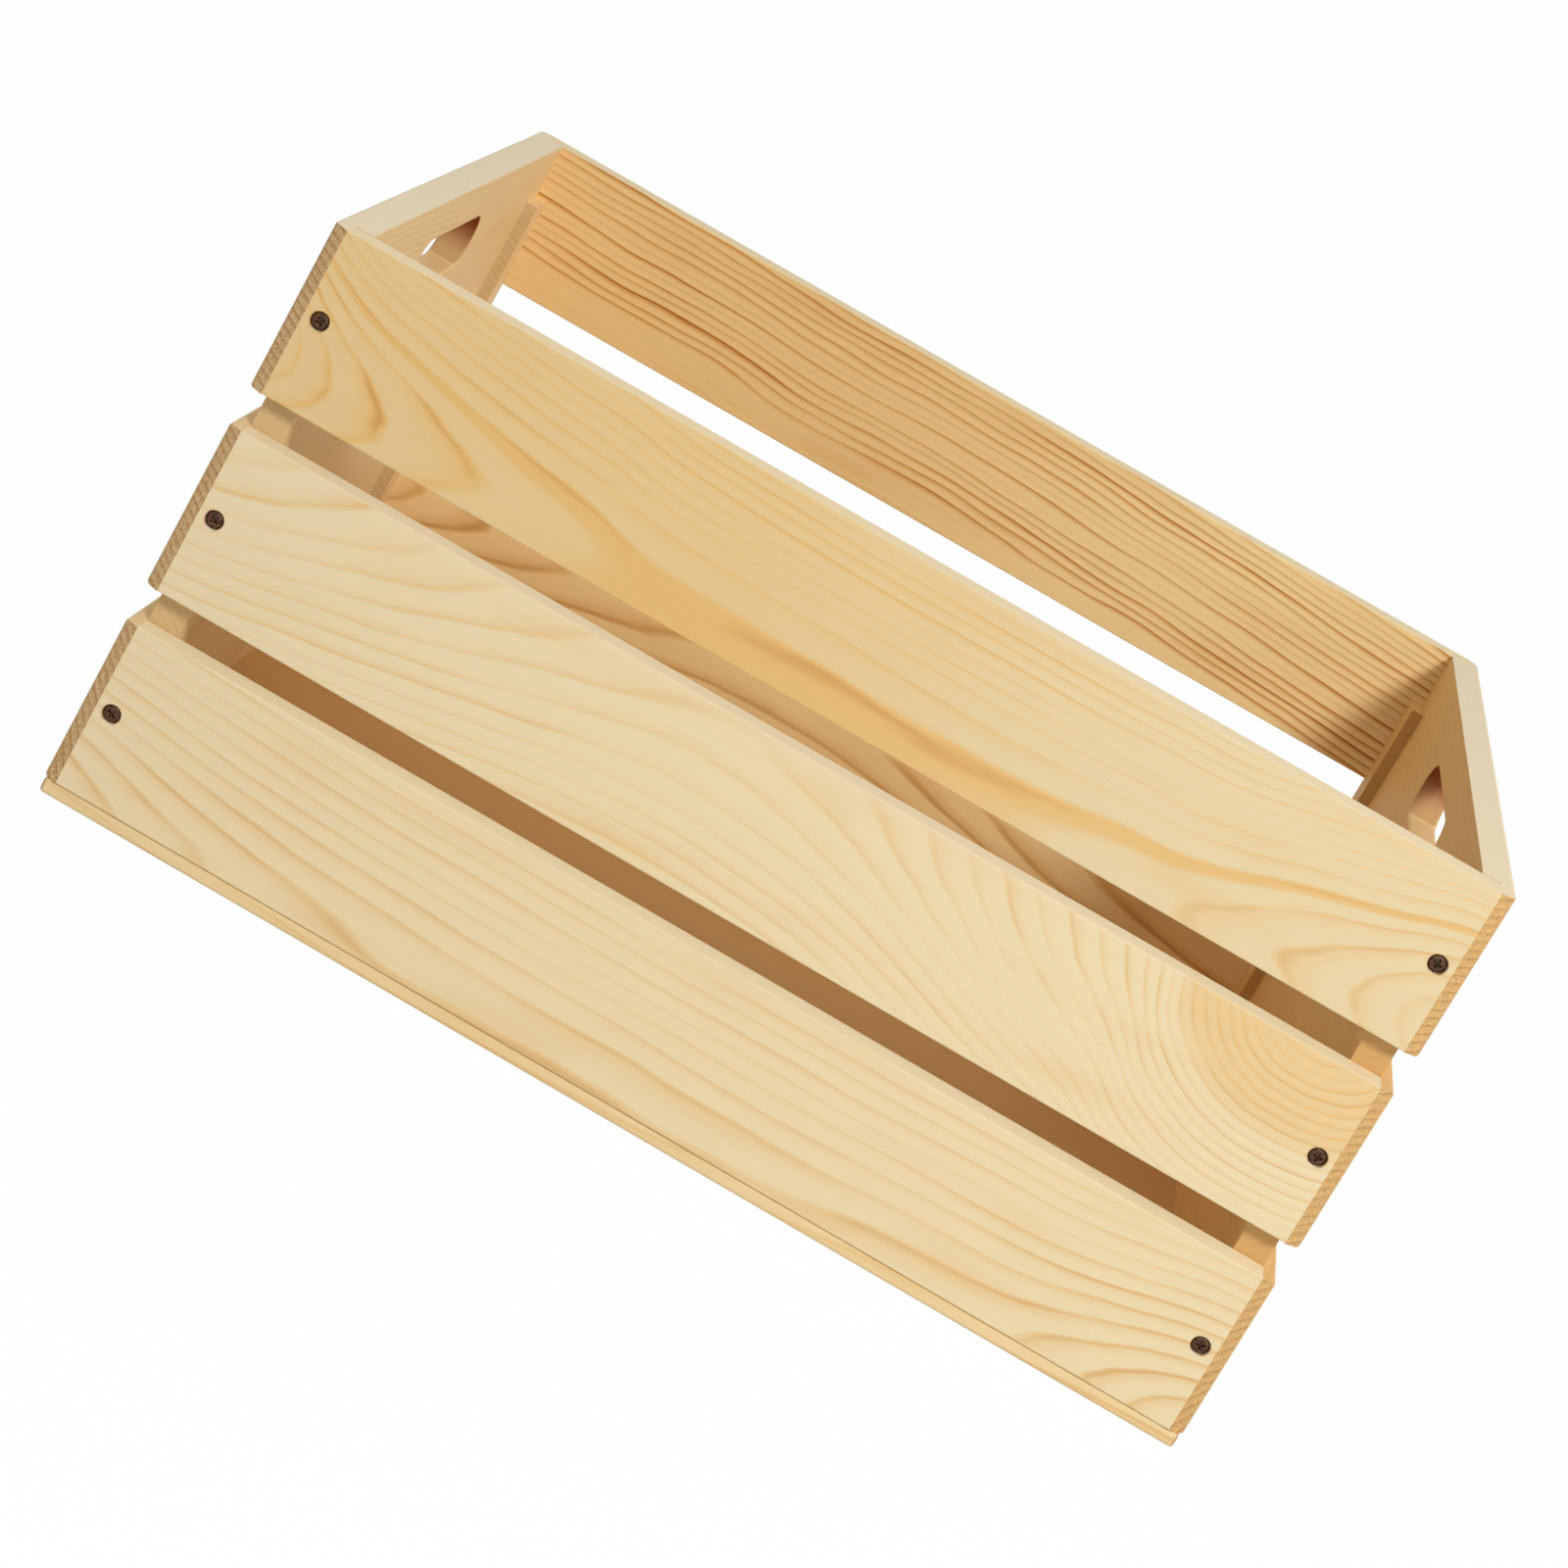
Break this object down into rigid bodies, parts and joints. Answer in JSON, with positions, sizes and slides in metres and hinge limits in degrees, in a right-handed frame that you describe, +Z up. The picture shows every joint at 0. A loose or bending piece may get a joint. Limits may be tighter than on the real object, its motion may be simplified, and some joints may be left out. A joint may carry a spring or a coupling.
{
  "type": "wooden crate",
  "caption": "Open slatted pine storage crate: solid end panels with oval hand holes and lips over the slat ends, three slats along each side and a thin floor board, held by recessed wood screws.",
  "frame": {"origin": "under the middle of the floor board, where the crate stands", "axes": "+X along the slats to the right end, +Y from the front slats to the back slats, +Z up through the open top"},
  "size_m": [0.46, 0.35, 0.231],
  "materials": {
    "pine_slat": "sanded, untreated",
    "pine_panel": "sanded, untreated",
    "pine_floor": "sanded, untreated",
    "dark_screw": "blackened"
  },
  "bodies": {
    "root": {"floor_board": "pine_floor", "end_panel_left": "pine_panel", "end_panel_right": "pine_panel", "front_slat_bottom": "pine_slat", "front_slat_middle": "pine_slat", "front_slat_top": "pine_slat", "back_slat_bottom": "pine_slat", "back_slat_middle": "pine_slat", "back_slat_top": "pine_slat", "slat_screw_front_bottom_left": "dark_screw", "slat_screw_front_bottom_right": "dark_screw", "slat_screw_front_middle_left": "dark_screw", "slat_screw_front_middle_right": "dark_screw", "slat_screw_front_top_left": "dark_screw", "slat_screw_front_top_right": "dark_screw", "slat_screw_back_bottom_left": "dark_screw", "slat_screw_back_bottom_right": "dark_screw", "slat_screw_back_middle_left": "dark_screw", "slat_screw_back_middle_right": "dark_screw", "slat_screw_back_top_left": "dark_screw", "slat_screw_back_top_right": "dark_screw", "floor_screw_left_end_front": "dark_screw", "floor_screw_left_end_middle": "dark_screw", "floor_screw_left_end_back": "dark_screw", "floor_screw_right_end_front": "dark_screw", "floor_screw_right_end_middle": "dark_screw", "floor_screw_right_end_back": "dark_screw", "floor_screw_front_slat": "dark_screw", "floor_screw_back_slat": "dark_screw"}
  },
  "joints": []
}
